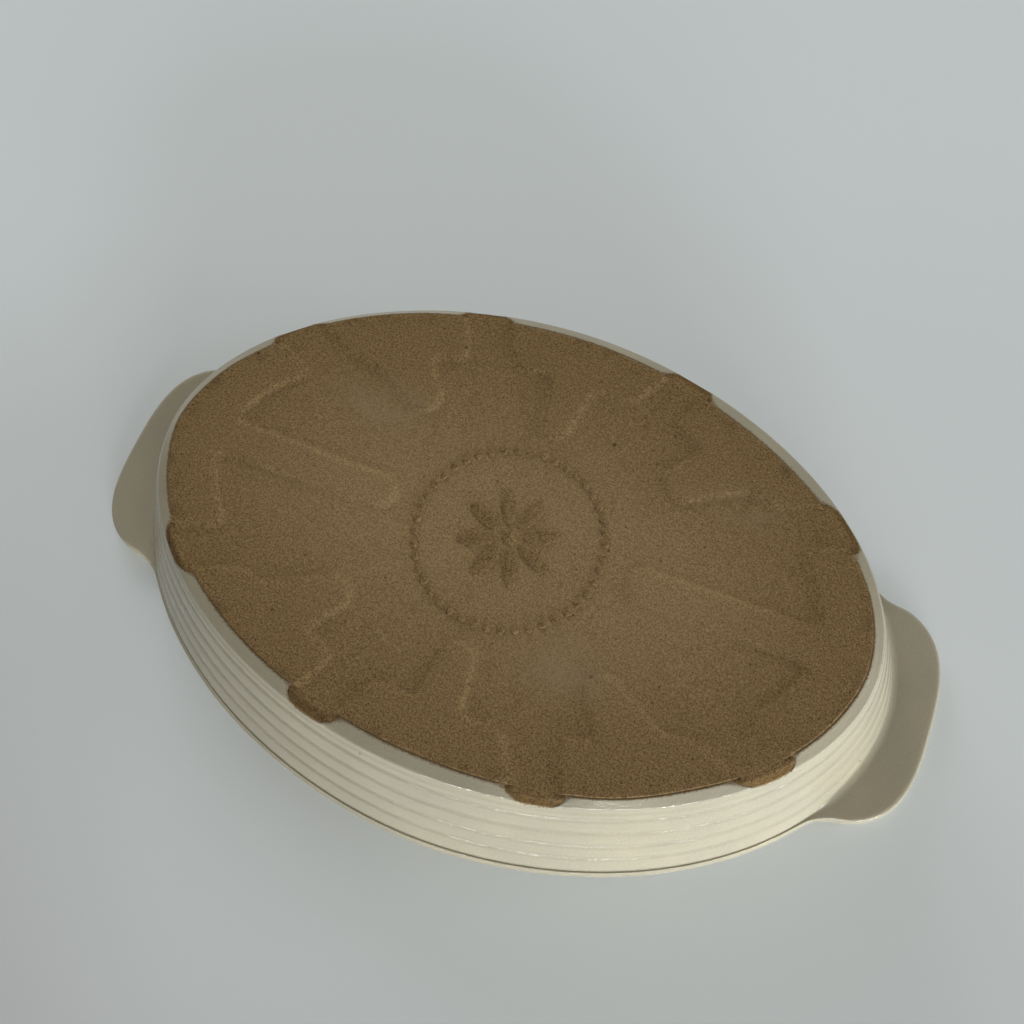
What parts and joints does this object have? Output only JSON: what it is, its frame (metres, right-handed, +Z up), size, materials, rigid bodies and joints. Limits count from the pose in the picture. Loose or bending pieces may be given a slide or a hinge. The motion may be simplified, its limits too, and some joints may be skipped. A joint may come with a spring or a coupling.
{
  "type": "oval casserole dish",
  "caption": "Shallow oval stoneware baking dish with a ribbed cream-glazed wall, flat lug handles at the rim and a bare clay base with a raised foot ring.",
  "frame": {"origin": "under the middle of the dish, in the plane of the foot it stands on", "axes": "+Z up out of the mouth, +X along the dish through both handles, +Y across it"},
  "size_m": [0.33, 0.21, 0.05],
  "materials": {
    "stoneware": "bare fired stoneware, matt and gritty",
    "cream_glaze": "glossy cream glaze with fine specks"
  },
  "bodies": {
    "root": {"stoneware_body": "stoneware", "glaze_coat": "cream_glaze", "right_handle": "cream_glaze", "left_handle": "cream_glaze"}
  },
  "joints": []
}
